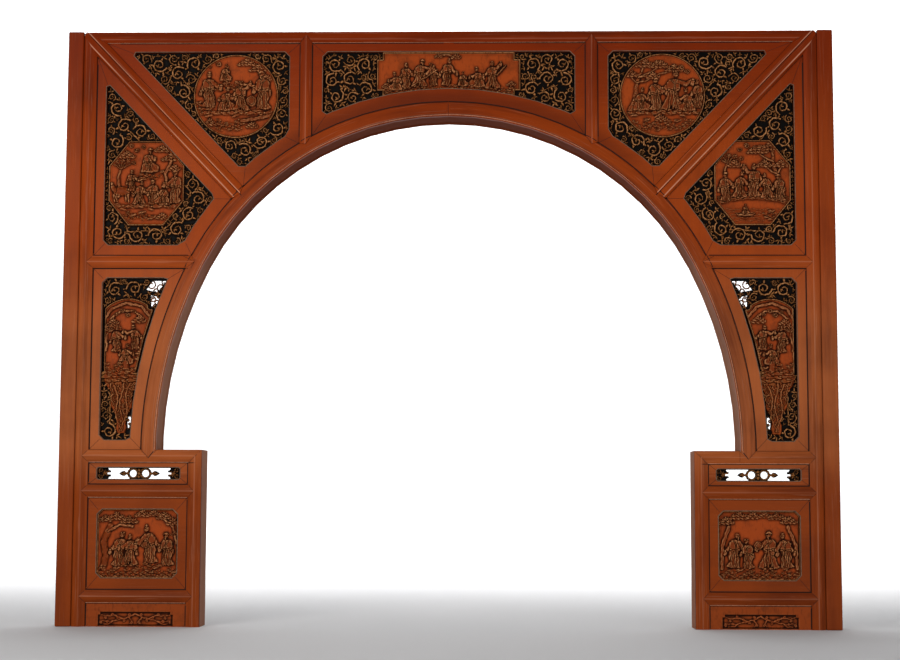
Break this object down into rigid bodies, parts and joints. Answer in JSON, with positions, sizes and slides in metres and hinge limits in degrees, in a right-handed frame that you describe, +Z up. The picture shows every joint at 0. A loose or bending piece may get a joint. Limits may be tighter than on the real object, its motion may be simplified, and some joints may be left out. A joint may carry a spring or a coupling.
{
  "type": "carved wooden archway",
  "caption": "Freestanding carved wooden archway: two panelled legs on square pedestals carry a moulded arch ring, with openwork and relief figure panels framed in flat mitred boards.",
  "frame": {"origin": "on the floor, under the middle of the archway: centre of the bounding box's base", "axes": "+Z up, +X to the right seen from the carved front, which faces -Y"},
  "size_m": [3.1, 0.15, 2.4],
  "materials": {
    "frame_wood": "reddish-brown lacquer, semi-gloss, fine grain showing through, paler at worn edges",
    "carved_wood": "orange-red lacquered carving with dark recesses and worn gold-brown scrolls over a black ground"
  },
  "bodies": {
    "root": {"outer_post_left": "frame_wood", "outer_post_right": "frame_wood", "stile_left": "frame_wood", "stile_right": "frame_wood", "pedestal_stile_left": "frame_wood", "pedestal_stile_right": "frame_wood", "ring_leg_left": "frame_wood", "ring_leg_right": "frame_wood", "base_rail_left": "frame_wood", "base_rail_right": "frame_wood", "middle_rail_left": "frame_wood", "middle_rail_right": "frame_wood", "upper_rail_left": "frame_wood", "upper_rail_right": "frame_wood", "pedestal_rail_left": "frame_wood", "pedestal_rail_right": "frame_wood", "diagonal_lower_left": "frame_wood", "diagonal_lower_right": "frame_wood", "diagonal_upper_left": "frame_wood", "diagonal_upper_right": "frame_wood", "ring_crown_left": "frame_wood", "ring_crown_right": "frame_wood", "muntin_left": "frame_wood", "muntin_right": "frame_wood", "branch_board_left": "frame_wood", "branch_board_right": "frame_wood", "roundel_frame_left": "frame_wood", "roundel_frame_right": "frame_wood", "octagon_frame_left": "frame_wood", "octagon_frame_right": "frame_wood", "narrow_frame_left": "frame_wood", "narrow_frame_right": "frame_wood", "figure_frame_left": "frame_wood", "figure_frame_right": "frame_wood", "fret_frame_left": "frame_wood", "fret_frame_right": "frame_wood", "roundel_panel_left": "carved_wood", "roundel_panel_right": "carved_wood", "octagon_panel_left": "carved_wood", "octagon_panel_right": "carved_wood", "narrow_panel_left": "carved_wood", "narrow_panel_right": "carved_wood", "figure_panel_left": "carved_wood", "figure_panel_right": "carved_wood", "fret_panel_left": "carved_wood", "fret_panel_right": "carved_wood", "top_rail": "frame_wood", "centre_frame": "frame_wood", "centre_panel": "carved_wood"}
  },
  "joints": []
}
